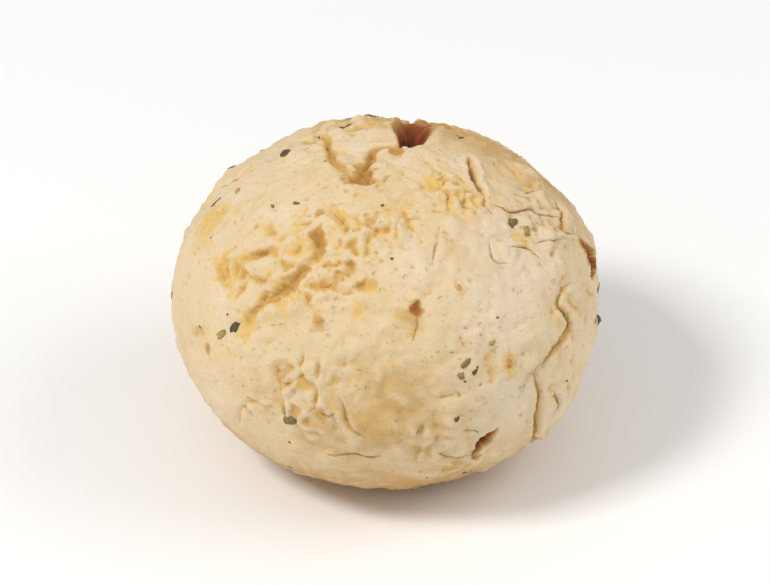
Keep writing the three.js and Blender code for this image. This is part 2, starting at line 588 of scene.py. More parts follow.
@dataclass(frozen=True)
class Wrinkles:
    """A patch of skin that shrank into folds, longest along the way `turn`, in degrees, with painted shade
    in their hollows.

    Its reach is in degrees. The folds are `fold` millimetres across and `height` millimetres high.
    """

    at: Place
    reach: float
    fold: float
    height: float
    turn: float = 90.0
    seed: float = 0.0

    def press(self, relief: Relief) -> None:
        """Folds the relief's skin over the patch."""
        middle = relief.dough.at(self.at)
        extent = math.radians(self.reach) * np.linalg.norm(middle)
        near = relief.near(middle, 1.6 * extent)
        points = relief.points[near]
        along, _ = ways_across(middle, self.turn)
        offset = points - middle
        squeezed = points - along * (0.62 * (offset @ along))[:, None]
        warp = 1.1 * self.fold * drift(points, 3.0 * self.fold, self.seed + 1.0)
        folds = 1.0 - np.abs(soft_noise(squeezed + warp, self.fold, self.seed)) * 4.0
        strength = ease(np.linalg.norm(offset, axis=1), extent, 0.35 * extent)
        strength *= ease(soft_noise(points, 3.2, self.seed + 7.0), -0.25, 0.2)
        relief.height[near] += self.height * strength * np.clip(folds, -0.6, 1.0)
        # Tan and toast in the fold hollows are painted shade.
        relief.stain(Tint.TAN, 0.9 * strength * ease(folds, 0.7, -0.3), near)
        relief.stain(Tint.TOAST_AND_SHADE, 0.14 * strength * ease(folds, 0.0, -0.8), near)


@dataclass(frozen=True)
class Pores:
    """Small air holes that broke through the crust, scattered with more of them on the torn patches."""

    count: int
    smallest: float
    largest: float
    seed: int

    def press(self, relief: Relief) -> None:
        """Pricks the pores into the relief."""
        draw = np.random.default_rng(self.seed)
        cheesy = relief.tints[Tint.CHEESE]
        chance = np.where(relief.directions[:, 2] > -0.6, 0.2 + 1.2 * cheesy, 0.08)
        picks = draw.choice(len(chance), size=self.count, replace=False, p=chance / chance.sum())
        for pick in picks:
            radius = self.smallest + (self.largest - self.smallest) * draw.random() ** 2.5
            middle = relief.points[pick]
            near = relief.near(middle, 2.2 * radius)
            distance = np.linalg.norm(relief.points[near] - middle, axis=1) / radius
            fill = ease(distance, 1.1, 0.2)
            relief.height[near] -= 0.7 * radius * fill
            # Painted shade inside each pore.
            relief.stain(Tint.TOAST_AND_SHADE, (0.1 + 0.16 * draw.random()) * fill, near)


@dataclass(frozen=True)
class Blisters:
    """Small bubbles under the skin, scattered where the dough rose most."""

    count: int
    smallest: float
    largest: float
    seed: int

    def press(self, relief: Relief) -> None:
        """Blows the blisters up under the relief."""
        draw = np.random.default_rng(self.seed)
        chance = ease(relief.directions[:, 2], -0.75, 0.1) + 0.05
        picks = draw.choice(len(chance), size=self.count, replace=False, p=chance / chance.sum())
        for pick in picks:
            radius = self.smallest + (self.largest - self.smallest) * draw.random() ** 2
            middle = relief.points[pick]
            near = relief.near(middle, 2.0 * radius)
            distance = np.linalg.norm(relief.points[near] - middle, axis=1) / radius
            relief.height[near] += 0.2 * radius * ease(distance, 1.2, 0.0)


@dataclass(frozen=True)
class Skin:
    """The whole crust's own unevenness, in millimetres, and how baking browned it.

    `calm` lists the places, each with a reach in degrees, where it rose smoothly. It has the least yellow in
    it at `palest`.
    """

    heave: float = 0.42
    lump: float = 0.34
    knob: float = 0.2
    grain: float = 0.06
    fold: float = 0.09
    calm: tuple[tuple[Place, float], ...] = (((-78, 2), 26.0), ((-44, -16), 12.0), ((40, 0), 9.0))
    palest: Place = (44, 16)
    pale_reach: float = 24.0

    def press(self, relief: Relief) -> None:
        """Roughens the whole relief, and browns it towards the tray and the back."""
        points = relief.points
        rise = relief.directions[:, 2]
        warp = drift(points, 5.0, 31.0)
        rough = self._roughness(relief)
        relief.height += self.heave * soft_noise(points, 10.0, 21.0)
        relief.height += self.lump * rough * billow(points + 1.3 * warp, 4.6, 20.0)
        relief.height += self.knob * rough * billow(points + 0.8 * warp, 2.2, 22.0)
        relief.height += self.grain * (0.35 + 0.65 * rough) * billow(points + 0.3 * warp, 1.1, 23.0)
        relief.height += 0.5 * self.grain * soft_noise(points, 0.6, 24.0)
        stretched = points * np.array([1.0, 1.0, 0.24])
        relief.height += self.fold * ease(rise, 0.25, -0.3) * soft_noise(stretched + 0.4 * warp, 1.7, 29.0)
        relief.height += 0.14 * ease(rise, -0.45, -0.8) * billow(points, 1.4, 27.0)
        self._brown(relief, warp)

    def _brown(self, relief: Relief, warp: Points) -> None:
        """Tints the crust: mottled all over, and darker and browner towards the tray and the back.

        Args:
            relief: The relief to tint.
            warp: A bend for each point, so that the mottling isn't round.
        """
        points = relief.points
        rise = relief.directions[:, 2]
        blotches = soft_noise(points + warp, 8.0, 25.0) + 0.6 * soft_noise(points, 3.5, 26.0)
        relief.stain(Tint.TAN, 0.12 + 0.4 * np.clip(blotches, 0.0, 1.0))
        relief.stain(Tint.TAN, ease(rise + 0.16 * blotches, -0.05, -0.7))
        relief.stain(Tint.TOAST_AND_SHADE, 0.34 * ease(rise + 0.12 * blotches, -0.4, -0.85))
        scorched = np.clip(0.42 + 0.5 * soft_noise(points, 2.4, 36.0) + 0.3 * blotches, 0.1, 0.75)
        relief.stain(Tint.TOAST_AND_SHADE, scorched * ease(rise, -0.74, -0.84))
        away = relief.directions @ direction_of((160, 8)) + 0.14 * blotches
        relief.stain(Tint.TAN, 0.95 * ease(away, 0.15, 0.85))
        relief.stain(Tint.TOAST_AND_SHADE, 0.2 * ease(away, 0.35, 1.0))
        rosy = soft_noise(points + warp, 6.0, 30.0) + 0.5 * soft_noise(points, 2.6, 33.0)
        relief.stain(Tint.BLUSH, 0.1 + 0.75 * np.clip(rosy, 0.0, 1.0))
        lemon = np.clip(soft_noise(points + warp, 2.7, 34.0) + 0.6 * soft_noise(points, 1.3, 35.0), 0.0, 1.0)
        pale = bell(degrees_from(relief.directions, self.palest), self.pale_reach)
        relief.stain(Tint.CHEESE, 0.7 * lemon * ease(rise, -0.5, 0.3) * (1.0 - 0.8 * pale))
        relief.height += 0.12 * lemon

    def _roughness(self, relief: Relief) -> Values:
        """Says how rough the crust is at each point, from about 0.25 where it stayed calm to 1."""
        rough = 0.55 + 0.45 * ease(soft_noise(relief.points, 7.0, 28.0), -0.3, 0.3)
        for place, reach in self.calm:
            rough *= 1.0 - 0.72 * bell(degrees_from(relief.directions, place), reach)
        return rough


# ---- Where everything is on this ball ------------------------------------------------------------

SKIN = Skin()
BLISTERS = Blisters(count=260, smallest=0.4, largest=1.2, seed=6)
PORES = Pores(count=150, smallest=0.2, largest=0.5, seed=4)

SWELLS = (
    Swell((-60, 45), 0.7, 34),
    Swell((25, 62), 0.5, 22),
    Swell((75, 42), -0.5, 20),
    Swell((-150, 30), 0.6, 38),
    Swell((130, 30), 0.5, 30),
    Swell((50, -28), 0.6, 16),
    Swell((170, -12), 0.5, 34),
    Swell((103, 16), 0.6, 9),
    Swell((97, 28), 0.5, 5),
    Swell((171, 47), -0.8, 8),
    Swell((98, 44), -0.5, 8),
    Swell((60, -14), 0.6, 9),
)

CROWN_CRACKS = (
    # Its dark floor is painted shade in the recess under the overhanging plate, with browning.
    Crack(
        ((148, 78), (156, 69), (163, 59), (168, 49)),
        2.5, 3.8, lip=0.0, step=1.3, step_reach=2.6, ragged=0.28, toast_and_shade=1.0, floor=0.3, hairline=0.0,
    ),
    Crack(
        ((168, 46), (172, 38), (171, 30), (176, 20), (178, 8)),
        1.2, 1.5, ragged=0.9, widest=0.3, toast_and_shade=0.7, beads=0.25, meander=2.0,
    ),
    Crack(
        ((153, 75), (159, 80), (-171, 80), (-146, 82), (-86, 84), (-46, 78)),
        0.95, 1.1, widest=0.7, toast_and_shade=0.46, cheese=0.6, beads=0.15, hairline=0.0,
    ),
    Crack(
        ((-44, 76), (-60, 76), (-86, 74), (-108, 71), (-124, 66), (-138, 60), (-140, 48)),
        0.95, 0.8, step=-0.3, toast_and_shade=0.34, cheese=0.7, ragged=0.6, widest=0.35, hairline=0.0,
    ),
    Crack(
        ((113, 59), (97, 60), (82, 57), (75, 55)),
        0.9, 1.1, lip=0.4, step=0.35, toast_and_shade=0.36, hairline=0.14,
    ),
    Crack(((75, 55), (69, 54), (66, 50)), 0.5, 0.4, toast_and_shade=0.32, cheese=0.6),
)

SHOULDER_CRACKS = (
    Crack(
        ((-84, 38), (-90, 32), (-90, 28), (-86, 26)),
        1.3, 0.4, toast_and_shade=0.1, cheese=0.9, ragged=0.8, hairline=0.0,
    ),
    Crack(
        ((-58, 33), (-54, 37), (-50, 40), (-45, 40)),
        1.0, 0.6, toast_and_shade=0.26, cheese=0.9, ragged=0.8, beads=0.3, hairline=0.0,
    ),
    Crack(
        ((-38, 56), (-34, 50), (-30, 47), (-31, 42)),
        1.2, 0.9, toast_and_shade=0.34, cheese=0.9, ragged=0.7, beads=0.25, hairline=0.0,
    ),
    Crack(
        ((-30, 45), (-33, 39), (-35, 33), (-40, 28), (-45, 20)),
        1.35, 1.2, lip=0.35, toast_and_shade=0.3, cheese=1.0, ragged=0.7, beads=0.25, widest=0.45, hairline=0.0,
    ),
    Crack(
        ((-44, 60), (-35, 60), (-28, 59), (-20, 55)),
        0.9, 0.4, toast_and_shade=0.16, cheese=0.8, ragged=0.9, beads=0.35, hairline=0.05,
    ),
    Crack(
        ((-3, 41), (-6, 39), (-13, 38)),
        0.95, 0.6, toast_and_shade=0.2, cheese=0.9, ragged=0.9, beads=0.35, hairline=0.0,
    ),
    Crack(
        ((-66, 34), (-62, 28), (-54, 26)),
        1.1, 0.45, toast_and_shade=0.08, cheese=1.0, ragged=1.0, beads=0.4, hairline=0.0,
    ),
)

RIGHT_CRACKS = (
    Crack(
        ((72, 52), (75, 46), (85, 40), (86, 36), (91, 30)),
        0.3, 0.3, step=0.35, toast_and_shade=0.12, hairline=0.13,
    ),
    Crack(((90, 46), (91, 42), (93, 38)), 0.25, 0.2, step=0.2, toast_and_shade=0.1, hairline=0.1),
    Crack(((70, 34), (76, 31), (84, 26)), 0.3, 0.3, step=0.3, toast_and_shade=0.16, hairline=0.07),
    Crack(((51, 45), (46, 39), (51, 36)), 0.35, 0.3, step=0.3, toast_and_shade=0.24, hairline=0.06),
    Crack(((56, 40), (63, 36), (65, 32), (65, 28)), 0.3, 0.25, step=0.25, toast_and_shade=0.14, hairline=0.05),
    Crack(((32, 56), (24, 50), (19, 44)), 0.35, 0.25, step=0.25, toast_and_shade=0.08, hairline=0.04),
    # The gap under the lifted flake: its dark floor is painted shade, with browning.
    Crack(
        ((92, 22), (89, 19), (90, 16), (88, 13), (84, 11)),
        1.0, 1.6, lip=0.25, step=0.3, toast_and_shade=1.0, floor=0.7, hairline=0.4, widest=0.5, ragged=0.25, beads=0.2,
    ),
    Crack(
        ((99, 32), (94, 30), (88, 27), (90, 23)),
        0.4, 0.4, step=0.5, toast_and_shade=0.34, hairline=0.1, ragged=0.8,
    ),
    Crack(((98, 24), (93, 25), (90, 22)), 0.35, 0.3, step=-0.3, toast_and_shade=0.3, hairline=0.08, ragged=0.8),
    Crack(
        ((71, 19), (64, 20), (60, 18), (61, 14), (60, 11), (55, 9), (49, 7), (45, 5)),
        0.6, 0.55, lip=0.25, step=0.4, toast_and_shade=0.2, cheese=0.7, hairline=0.14, ragged=0.8,
    ),
    Crack(
        ((46, 7), (44, 4), (45, -1), (45, -8), (46, -18), (51, -24), (57, -29), (61, -40)),
        0.7, 0.6, lip=0.25, step=0.7, widest=0.7, toast_and_shade=0.24, cheese=0.5, hairline=0.16, ragged=0.8,
    ),
    Crack(((49, 8), (42, 5), (39, 1)), 0.3, 0.3, step=-0.2, toast_and_shade=0.12, hairline=0.1),
    Crack(((50, -3), (52, -8), (51, -14)), 0.35, 0.3, step=0.3, toast_and_shade=0.2, hairline=0.05),
    Crack(((104, 33), (98, 40), (97, 47)), 0.3, 0.3, step=0.3, toast_and_shade=0.12, hairline=0.1),
)

LOWER_CRACKS = (
    Crack(
        ((32, -8), (28, -12), (25, -17)),
        0.85, 1.1, lip=0.2, toast_and_shade=1.0, ragged=0.85, floor=0.4, hairline=0.25,
    ),
    Crack(((25, -17), (18, -15), (14, -11)), 0.3, 0.25, step=0.2, toast_and_shade=0.24, hairline=0.12),
    Crack(((26, -8), (24, -6), (21, -5)), 0.25, 0.2, toast_and_shade=0.12, hairline=0.1),
    Crack(((-18, -13), (-11, -12), (-6, -13), (-1, -12)), 0.28, 0.2, toast_and_shade=0.62, widest=0.75, hairline=0.0),
    Crack(((10, 30), (10, 27), (8, 23)), 0.3, 0.2, toast_and_shade=0.26, hairline=0.04),
    Crack(((-25, 20), (-24, 16), (-25, 11)), 0.4, 0.3, step=0.2, toast_and_shade=0.12, hairline=0.0),
    Crack(
        ((-22, 13), (-26, 9), (-29, 6), (-28, 2)),
        0.5, 0.45, step=0.4, toast_and_shade=0.2, cheese=0.4, hairline=0.03,
    ),
    Crack(
        ((-20, 11), (-18, 8), (-19, 3), (-22, 1)),
        0.45, 0.4, step=0.3, toast_and_shade=0.18, cheese=0.4, hairline=0.02,
    ),
    Crack(
        ((-13, 8), (-11, 5), (-9, -2), (-5, -5)),
        0.45, 0.4, step=-0.3, toast_and_shade=0.2, cheese=0.4, hairline=0.03,
    ),
    Crack(((-19, 3), (-16, 1), (-13, 3)), 0.4, 0.3, toast_and_shade=0.16, hairline=0.02),
    Crack(
        ((-46, -16), (-44, -10), (-42, -6), (-38, -2), (-32, -1)),
        0.6, 0.3, step=-0.4, toast_and_shade=0.06, hairline=0.0,
    ),
)

HIDDEN_CRACKS = (
    Crack(
        ((172, 36), (-176, 31), (-170, 24), (-158, 19), (-149, 10)),
        1.0, 1.2, step=0.35, widest=0.35, toast_and_shade=0.6, ragged=0.9, beads=0.25, meander=2.6,
    ),
    Crack(((-168, 24), (-164, 14), (-166, 6)), 0.45, 0.5, step=0.3, toast_and_shade=0.3, ragged=0.8, meander=1.6),
    Crack(
        ((164, 52), (151, 47), (140, 38), (128, 28), (122, 13)),
        0.85, 1.0, step=0.35, toast_and_shade=0.5, ragged=0.9, beads=0.25, meander=2.6,
    ),
    Crack(((141, 38), (146, 29), (142, 20)), 0.4, 0.45, step=-0.3, toast_and_shade=0.3, ragged=0.8, meander=1.6),
    Crack(((-150, 42), (-142, 40), (-132, 31)), 0.5, 0.5, step=0.3, toast_and_shade=0.3, ragged=0.9, meander=1.6),
    Crack(((-120, 10), (-114, 4), (-108, 4)), 0.5, 0.5, step=0.35, toast_and_shade=0.3, ragged=0.9, meander=1.6),
    Crack(((-106, -6), (-104, -14), (-110, -20)), 0.4, 0.4, step=-0.3, toast_and_shade=0.3, ragged=0.8, meander=1.2),
    Crack(((-76, -2), (-82, -8), (-81, -14)), 0.35, 0.35, step=0.25, toast_and_shade=0.2, ragged=0.8, meander=1.2),
    Crack(((100, -6), (108, -8), (114, -14)), 0.5, 0.5, step=0.35, toast_and_shade=0.3, ragged=0.9, meander=1.6),
    Crack(((128, -14), (136, -12), (142, -18)), 0.45, 0.45, step=0.3, toast_and_shade=0.3, ragged=0.9, meander=1.6),
    Crack(((146, 10), (154, 4), (153, -6)), 0.45, 0.5, step=0.3, toast_and_shade=0.35, ragged=0.9, meander=1.8),
    Crack(((-176, -4), (-168, -8), (-158, -6)), 0.4, 0.45, step=-0.3, toast_and_shade=0.3, ragged=0.9, meander=1.6),
    Crack(((112, 34), (115, 27), (110, 20)), 0.35, 0.35, step=0.3, toast_and_shade=0.16, ragged=0.8, meander=1.2),
    Crack(((-112, 42), (-106, 37), (-108, 30)), 0.35, 0.35, step=-0.3, toast_and_shade=0.16, ragged=0.8, meander=1.2),
)

ALL_CRACKS = (*CROWN_CRACKS, *SHOULDER_CRACKS, *RIGHT_CRACKS, *LOWER_CRACKS, *HIDDEN_CRACKS)

PITS = (
    Pit((-44, 77), 1.35, 1.1, stretch=1.3, turn=40, toast_and_shade=0.48, cheese=0.7, rim=0.1),
    Pit((-70, 81), 0.9, 0.4, toast_and_shade=0.4, cheese=0.5),
    Pit((150, 82), 0.9, 0.3, toast_and_shade=0.44, cheese=0.4),
    # These dark stains in the crown split are painted shade in its recess, with browning.
    Pit((162, 59), 2.2, 0.0, ragged=0.2, toast_and_shade=0.98),
    Pit((165, 52), 2.0, 0.0, ragged=0.35, toast_and_shade=0.82),
    Pit((170, 46), 1.9, 0.0, ragged=0.45, toast_and_shade=0.5),
    Pit((-59, 29), 1.7, 0.45, stretch=1.35, turn=10, toast_and_shade=0.12, cheese=1.0),
    Pit((-54, 31), 0.7, 0.4, toast_and_shade=0.28, cheese=0.9),
    Pit((-35, 51), 0.7, 0.45, stretch=1.2, turn=30, toast_and_shade=0.42),
    Pit((-43, 20), 1.2, 0.3, stretch=1.6, turn=60, cheese=0.8, toast_and_shade=0.06),
    Pit((-43, 58), 0.65, 0.3, toast_and_shade=0.34),
    Pit((-9, 60), 0.85, 0.45, stretch=1.3, turn=60, ragged=0.6, toast_and_shade=0.28, cheese=0.4),
    Pit((-19, 40), 0.75, 0.5, stretch=1.3, turn=80, ragged=0.6, toast_and_shade=0.26, cheese=0.5),
    Pit((-22, 37), 0.9, 0.15, toast_and_shade=0.2, cheese=0.7),
    Pit((55, 70), 1.5, 0.2, cheese=0.8),
    Pit((62, 60), 1.9, 0.1, stretch=1.4, turn=90, cheese=0.6),
    Pit((10, 32), 0.75, 0.5, toast_and_shade=0.66),
    Pit((8, 30), 1.4, 0.0, toast_and_shade=0.24),
    Pit((-21, 27), 0.9, 0.1, toast_and_shade=0.28, cheese=0.5),
    Pit((-55, 7), 0.75, 0.15, toast_and_shade=0.36, cheese=0.6),
    # Painted shade in the gap under the lifted flake, with browning.
    Pit((89, 16), 1.0, 0.0, stretch=2.2, turn=100, ragged=0.3, toast_and_shade=0.98),
    Pit((36, 11), 0.9, 0.08, stretch=1.6, turn=90, toast_and_shade=0.12, cheese=0.8),
    Pit((27, 35), 0.8, 0.06, stretch=1.4, turn=90, toast_and_shade=0.2, cheese=0.4),
    Pit((27, -18), 0.6, 0.1, toast_and_shade=0.4),
    Pit((9, 26), 0.9, 0.25, stretch=1.8, turn=80, toast_and_shade=0.14, cheese=0.3),
    Pit((30, 14), 1.2, 0.3, stretch=1.5, turn=100, ragged=0.6, toast_and_shade=0.16, cheese=0.3),
    Pit((24, 20), 0.9, 0.25, stretch=1.4, turn=40, ragged=0.6, toast_and_shade=0.14),
    Pit((-14, 44), 0.8, 0.3, stretch=1.4, turn=50, ragged=0.6, toast_and_shade=0.22, cheese=0.4),
    Pit((-62, 8), 0.7, 0.2, stretch=1.8, turn=60, ragged=0.6, toast_and_shade=0.24, cheese=0.5),
    Pit((-20, 10), 0.8, 0.1, toast_and_shade=0.16),
)

BLOOMS = (
    Bloom((-1, 3), 19, Tint.TAN, 0.9),
    Bloom((2, 8), 10, Tint.TAN, 1.0, patch=3.0),
    Bloom((-16, -7), 16, Tint.TAN, 0.7, patch=3.0),
    Bloom((14, -8), 15, Tint.TAN, 0.7, patch=3.0),
    Bloom((-34, 2), 11, Tint.TAN, 0.6, patch=2.4),
    Bloom((0, -32), 26, Tint.TAN, 0.6, patch=5.0),
    Bloom((52, 30), 24, Tint.BLUSH, 1.0, patch=5.0),
    Bloom((34, 0), 13, Tint.BLUSH, 1.0),
    Bloom((36, 24), 14, Tint.BLUSH, 1.0, patch=3.0),
    Bloom((60, 38), 12, Tint.BLUSH, 1.0, patch=3.0),
    Bloom((52, -8), 12, Tint.BLUSH, 0.9),
    Bloom((15, 42), 12, Tint.BLUSH, 0.8),
    Bloom((-4, 24), 15, Tint.TAN, 0.34, patch=3.0),
    Bloom((0, 66), 12, Tint.TAN, 0.4, patch=3.0),
    Bloom((-20, 74), 10, Tint.TAN, 0.45, patch=2.4),
    Bloom((96, 62), 12, Tint.BLUSH, 0.9, patch=3.0),
    Bloom((-150, 74), 12, Tint.BLUSH, 0.9),
    Bloom((-60, 50), 9, Tint.BLUSH, 0.9, patch=2.5),
    Bloom((0, 4), 14, Tint.CHEESE, 0.4, patch=2.5),
    Bloom((-86, 31), 7, Tint.CHEESE, 0.95, patch=2.4),
    Bloom((-58, 30), 7, Tint.CHEESE, 1.0, patch=2.4),
    Bloom((-34, 44), 15, Tint.CHEESE, 0.75, patch=2.2),
    Bloom((62, 62), 11, Tint.CHEESE, 0.9, patch=2.2),
    Bloom((10, 62), 10, Tint.CHEESE, 0.55, patch=2.4),
    Bloom((8, 32), 8, Tint.CHEESE, 0.5, patch=2.2),
    Bloom((66, 38), 4, Tint.CHEESE, 0.9, patch=1.5),
    Bloom((60, 14), 5, Tint.CHEESE, 0.8, patch=1.5),
    # Painted shade in the crown split's recess, with browning.
    Bloom((163, 45), 10, Tint.TOAST_AND_SHADE, 0.62, patch=3.0),
    Bloom((112, 36), 14, Tint.TAN, 0.4),
    Bloom((98, 12), 12, Tint.TAN, 0.5),
    Bloom((-128, -4), 16, Tint.TAN, 0.9),
    Bloom((-160, 40), 18, Tint.BLUSH, 0.8),
)

TORN_PATCHES = (
    TornPatch((-44, 41), 20, 3.7, 0.6, 38, 0.6, toast_and_shade=0.1, stretch=1.6, lift=0.42, seed=2.0),
    TornPatch((-8, 56), 15, 3.0, 0.55, 50, 0.5, toast_and_shade=0.1, stretch=1.3, seed=3.0),
    TornPatch((62, 63), 13, 2.6, 0.7, 70, 0.7, toast_and_shade=0.12, stretch=1.3, seed=5.0),
    TornPatch((82, 34), 12, 3.6, 0.3, 10, 0.2, toast_and_shade=0.2, lift=0.3, seed=6.0),
    TornPatch((56, 0), 10, 3.4, 0.3, 80, 0.2, toast_and_shade=0.2, lift=0.25, seed=7.0),
    TornPatch((150, 14), 17, 3.3, 0.7, -30, 0.7, seed=8.0),
    TornPatch((-118, 12), 13, 2.8, 0.5, 60, 0.6, seed=11.0),
    TornPatch((-160, 55), 16, 3.4, 0.5, 20, 0.5, seed=12.0),
)

WRINKLE_PATCHES = (
    Wrinkles((-21, 6), 18, 1.7, 0.46, turn=75, seed=1.0),
    Wrinkles((-38, -2), 9, 1.7, 0.3, turn=100, seed=8.0),
    Wrinkles((6, -8), 13, 1.4, 0.16, turn=60, seed=5.0),
    Wrinkles((86, 36), 13, 1.3, 0.14, turn=20, seed=6.0),
    Wrinkles((-150, 0), 20, 1.0, 0.12, turn=70, seed=2.0),
    Wrinkles((100, -12), 16, 1.0, 0.12, turn=100, seed=3.0),
    Wrinkles((20, -22), 14, 0.8, 0.07, turn=20, seed=4.0),
)


# ---- Shader helpers ------------------------------------------------------------------------------


class NodeBench:
    """Lays nodes out in one tree and wires them by socket name."""

    def __init__(self, tree: bpy.types.NodeTree) -> None:
        """Takes the tree to work in."""
        self.tree = tree

    def add(
        self, kind: str, values: dict | None = None, wires: dict | None = None, **settings: object
    ) -> bpy.types.Node:
        """Adds a node.

        Args:
            kind: The node's type, such as ShaderNodeMix.
            values: Socket name or number to plain value.
            wires: Socket name or number to the output socket that feeds it.
            **settings: Properties to set on the node.

        Returns:
            The new node.
        """
        node = self.tree.nodes.new(kind)
        for name, value in settings.items():
            setattr(node, name, value)
        for socket, value in (values or {}).items():
            node.inputs[socket].default_value = value
        for socket, output in (wires or {}).items():
            self.tree.links.new(output, node.inputs[socket])
        return node

    def mix(self, share: Socket, first: Colour | Socket, second: Colour | Socket) -> Socket:
        """Mixes two colours.

        Args:
            share: How much of the second colour there is, from 0 to 1.
            first: A colour, or the socket that gives it.
            second: A colour, or the socket that gives it.

        Returns:
            The mixed colour's socket.
        """
        node = self.add("ShaderNodeMix", wires={0: share}, data_type="RGBA")
        for index, colour in ((6, first), (7, second)):
            if isinstance(colour, Socket):
                self.tree.links.new(colour, node.inputs[index])
            else:
                node.inputs[index].default_value = (*colour, 1.0)
        return node.outputs[2]

    def ramp(
        self, value: Socket, low: float, high: float, out_low: float = 0.0, out_high: float = 1.0
    ) -> Socket:
        """Eases a value from one range to another.

        Args:
            value: The value's socket.
            low: Where the rise starts.
            high: Where the rise ends.
            out_low: What low becomes.
            out_high: What high becomes.

        Returns:
            The eased value's socket.
        """
        node = self.add(
            "ShaderNodeMapRange",
            values={1: low, 2: high, 3: out_low, 4: out_high},
            wires={0: value},
            interpolation_type="SMOOTHSTEP",
        )
        return node.outputs[0]

    def sum(self, operation: str, first: float | Socket, second: float | Socket) -> Socket:
        """Does one sum on two values.

        Args:
            operation: The Math node's operation, such as ADD.
            first: A number, or the socket that gives it.
            second: A number, or the socket that gives it.

        Returns:
            The result's socket.
        """
        node = self.add("ShaderNodeMath", operation=operation)
        for index, value in ((0, first), (1, second)):
            if isinstance(value, Socket):
                self.tree.links.new(value, node.inputs[index])
            else:
                node.inputs[index].default_value = value
        return node.outputs[0]


def crumb_grain_group() -> bpy.types.NodeTree:
    """Builds the grain that baked dough shows: a fine tooth, pin pores and soft blotches, in millimetres.

    Returns:
        A node group with inputs Size and Shift and outputs Height, Blotch, Fleck and Pores.
    """
    group = bpy.data.node_groups.new("crumb_grain", "ShaderNodeTree")
    group.interface.new_socket("Size", in_out="INPUT", socket_type="NodeSocketFloat").default_value = 1.0
    group.interface.new_socket("Shift", in_out="INPUT", socket_type="NodeSocketFloat").default_value = 0.0
    for name in ("Height", "Blotch", "Fleck", "Pores"):
        group.interface.new_socket(name, in_out="OUTPUT", socket_type="NodeSocketFloat")
    bench = NodeBench(group)
    entry = bench.add("NodeGroupInput")
    place = bench.add("ShaderNodeTexCoord").outputs["Object"]
    scaled = bench.add("ShaderNodeVectorMath", operation="SCALE")
    per_metre = bench.sum("DIVIDE", 1.0 / MILLIMETRE, entry.outputs["Size"])
    group.links.new(place, scaled.inputs[0])
    group.links.new(per_metre, scaled.inputs["Scale"])
    shifted = bench.add("ShaderNodeVectorMath", wires={0: scaled.outputs[0], 1: entry.outputs["Shift"]})
    where = shifted.outputs[0]

    def texture(scale: float, detail: float, roughness: float) -> Socket:
        """Adds a noise texture with so many features to the size, and gives its value."""
        node = bench.add(
            "ShaderNodeTexNoise",
            values={"Scale": scale, "Detail": detail, "Roughness": roughness},
            wires={"Vector": where},
        )
        return node.outputs[0]

    tooth = texture(2.6, 4.0, 0.62)
    blotch = texture(0.22, 3.0, 0.55)
    fleck = texture(0.7, 2.0, 0.5)
    pores = bench.add(
        "ShaderNodeTexVoronoi", values={"Scale": 0.75, "Randomness": 1.0}, wires={"Vector": where}
    )
    pore = bench.ramp(pores.outputs["Distance"], 0.3, 0.1)
    sparse = bench.ramp(fleck, 0.52, 0.62)
    pore_here = bench.sum("MULTIPLY", pore, sparse)
    height = bench.sum("SUBTRACT", tooth, bench.sum("MULTIPLY", pore_here, 1.6))
    finish = bench.add("NodeGroupOutput")
    for name, socket in (("Height", height), ("Blotch", blotch), ("Fleck", fleck), ("Pores", pore_here)):
        group.links.new(socket, finish.inputs[name])
    return group


def blank_material(name: str) -> tuple[bpy.types.Material, NodeBench]:
    """Makes a material with no nodes yet, and the bench to lay them out on."""
    material = bpy.data.materials.new(name)
    material.use_nodes = True
    material.node_tree.nodes.clear()
    return material, NodeBench(material.node_tree)


def linear(red: int, green: int, blue: int) -> Colour:
    """Turns an everyday 0 to 255 colour into the linear numbers that shaders use."""
    shares = (channel / 255.0 for channel in (red, green, blue))
    return tuple(s / 12.92 if s <= 0.04045 else ((s + 0.055) / 1.055) ** 2.4 for s in shares)


